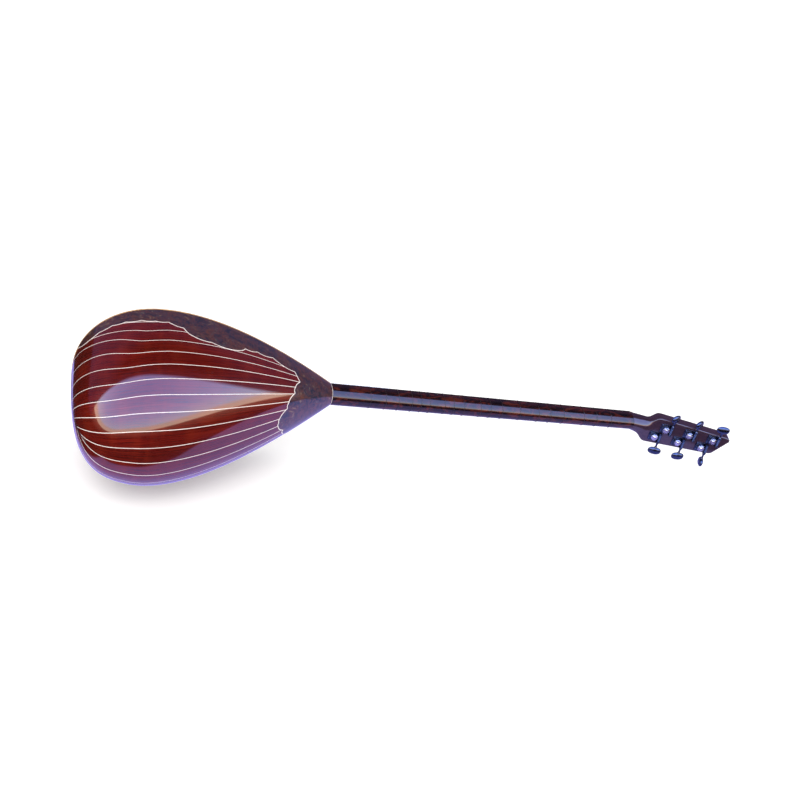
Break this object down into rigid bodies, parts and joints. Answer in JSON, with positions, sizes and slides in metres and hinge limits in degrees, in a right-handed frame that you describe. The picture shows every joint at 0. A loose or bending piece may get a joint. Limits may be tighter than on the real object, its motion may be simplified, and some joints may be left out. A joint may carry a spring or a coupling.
{
  "type": "long-necked lute",
  "caption": "Long-necked saz with a stave-built pear-shaped bowl, burl rim and neck cap, slim neck, back-tilted head and geared tuning machines.",
  "frame": {"origin": "lowest point of the bowl's rim at its widest station, where the instrument rests on the player's lap", "axes": "+X from the tail to the head along the neck, +Y the way the soundboard and strings face, +Z the side edge that is up in playing"},
  "size_m": [1.1409, 0.2377, 0.238],
  "materials": {
    "mahogany_stave": "dark red mahogany under high gloss lacquer",
    "burl_veneer": "mottled dark burl veneer under high gloss lacquer",
    "dark_neck": "mottled dark burl, polished",
    "head_lacquer": "dark violet-brown high gloss lacquer",
    "spruce_top": "satin lacquered straight-grained spruce",
    "inner_wood": "raw planed softwood",
    "ebony": "oiled",
    "bone": "polished bone",
    "maple": "raw, fine sanded",
    "string_steel": "drawn wire",
    "nickel_gear": "nickel plated",
    "smoked_chrome": "dark polished chrome"
  },
  "bodies": {
    "instrument": {"tuner_plate_1": "smoked_chrome", "tuner_plate_2": "smoked_chrome", "tuner_plate_3": "smoked_chrome", "tuner_plate_4": "smoked_chrome", "tuner_plate_5": "smoked_chrome", "tuner_plate_6": "smoked_chrome", "stave_19": "mahogany_stave", "stave_18": "mahogany_stave", "stave_17": "mahogany_stave", "stave_16": "mahogany_stave", "stave_15": "mahogany_stave", "stave_14": "mahogany_stave", "stave_13": "mahogany_stave", "stave_12": "mahogany_stave", "stave_11": "mahogany_stave", "stave_10": "mahogany_stave", "stave_09": "mahogany_stave", "stave_08": "mahogany_stave", "stave_07": "mahogany_stave", "stave_06": "mahogany_stave", "stave_05": "mahogany_stave", "stave_04": "mahogany_stave", "stave_03": "mahogany_stave", "stave_02": "mahogany_stave", "stave_01": "mahogany_stave", "rim_band_upper": "burl_veneer", "rim_band_lower": "burl_veneer", "neck_cap": "burl_veneer", "tail_cap": "burl_veneer", "tail_block": "inner_wood", "neck_block": "inner_wood", "soundboard": "spruce_top", "soundboard_brace_1": "inner_wood", "soundboard_brace_2": "inner_wood", "neck": "dark_neck", "fingerboard": "ebony", "head": "head_lacquer", "nut": "bone", "string_holder": "ebony", "bridge": "maple", "string_1": "string_steel", "string_2": "string_steel", "string_3": "string_steel", "string_4": "string_steel", "string_5": "string_steel", "string_6": "string_steel"},
    "button_1": {"tuner_worm_button_1": "smoked_chrome"},
    "post_1": {"tuner_gear_post_1": "nickel_gear"},
    "button_2": {"tuner_worm_button_2": "smoked_chrome"},
    "post_2": {"tuner_gear_post_2": "nickel_gear"},
    "button_3": {"tuner_worm_button_3": "smoked_chrome"},
    "post_3": {"tuner_gear_post_3": "nickel_gear"},
    "button_4": {"tuner_worm_button_4": "smoked_chrome"},
    "post_4": {"tuner_gear_post_4": "nickel_gear"},
    "button_5": {"tuner_worm_button_5": "smoked_chrome"},
    "post_5": {"tuner_gear_post_5": "nickel_gear"},
    "button_6": {"tuner_worm_button_6": "smoked_chrome"},
    "post_6": {"tuner_gear_post_6": "nickel_gear"}
  },
  "joints": [
    {"name": "button_1_turn", "type": "hinge", "parent": "instrument", "child": "button_1", "pos_m": [0.88606, -0.04588, 0.1097], "axis": [0, 0, -1], "continuous": true},
    {"name": "post_1_turn", "type": "hinge", "parent": "instrument", "child": "post_1", "pos_m": [0.87921, -0.03699, 0.1097], "axis": [-0.2924, -0.9563, 0], "continuous": true},
    {"name": "button_2_turn", "type": "hinge", "parent": "instrument", "child": "button_2", "pos_m": [0.92718, -0.05845, 0.1097], "axis": [0, 0, -1], "continuous": true},
    {"name": "post_2_turn", "type": "hinge", "parent": "instrument", "child": "post_2", "pos_m": [0.92033, -0.04956, 0.1097], "axis": [-0.2924, -0.9563, 0], "continuous": true},
    {"name": "button_3_turn", "type": "hinge", "parent": "instrument", "child": "button_3", "pos_m": [0.9683, -0.07102, 0.1097], "axis": [0, 0, -1], "continuous": true},
    {"name": "post_3_turn", "type": "hinge", "parent": "instrument", "child": "post_3", "pos_m": [0.96145, -0.06213, 0.1097], "axis": [-0.2924, -0.9563, 0], "continuous": true},
    {"name": "button_4_turn", "type": "hinge", "parent": "instrument", "child": "button_4", "pos_m": [0.9004, -0.05026, 0.1283], "axis": [0, 0, 1], "continuous": true},
    {"name": "post_4_turn", "type": "hinge", "parent": "instrument", "child": "post_4", "pos_m": [0.89355, -0.04137, 0.1283], "axis": [-0.2924, -0.9563, 0], "continuous": true},
    {"name": "button_5_turn", "type": "hinge", "parent": "instrument", "child": "button_5", "pos_m": [0.94152, -0.06284, 0.1283], "axis": [0, 0, 1], "continuous": true},
    {"name": "post_5_turn", "type": "hinge", "parent": "instrument", "child": "post_5", "pos_m": [0.93467, -0.05394, 0.1283], "axis": [-0.2924, -0.9563, 0], "continuous": true},
    {"name": "button_6_turn", "type": "hinge", "parent": "instrument", "child": "button_6", "pos_m": [0.98264, -0.07541, 0.1283], "axis": [0, 0, 1], "continuous": true},
    {"name": "post_6_turn", "type": "hinge", "parent": "instrument", "child": "post_6", "pos_m": [0.97579, -0.06652, 0.1283], "axis": [-0.2924, -0.9563, 0], "continuous": true}
  ],
  "couplings": [
    {"joint": "post_1_turn", "follows": "button_1_turn", "ratio": -0.071429},
    {"joint": "post_2_turn", "follows": "button_2_turn", "ratio": -0.071429},
    {"joint": "post_3_turn", "follows": "button_3_turn", "ratio": -0.071429},
    {"joint": "post_4_turn", "follows": "button_4_turn", "ratio": 0.071429},
    {"joint": "post_5_turn", "follows": "button_5_turn", "ratio": 0.071429},
    {"joint": "post_6_turn", "follows": "button_6_turn", "ratio": 0.071429}
  ]
}
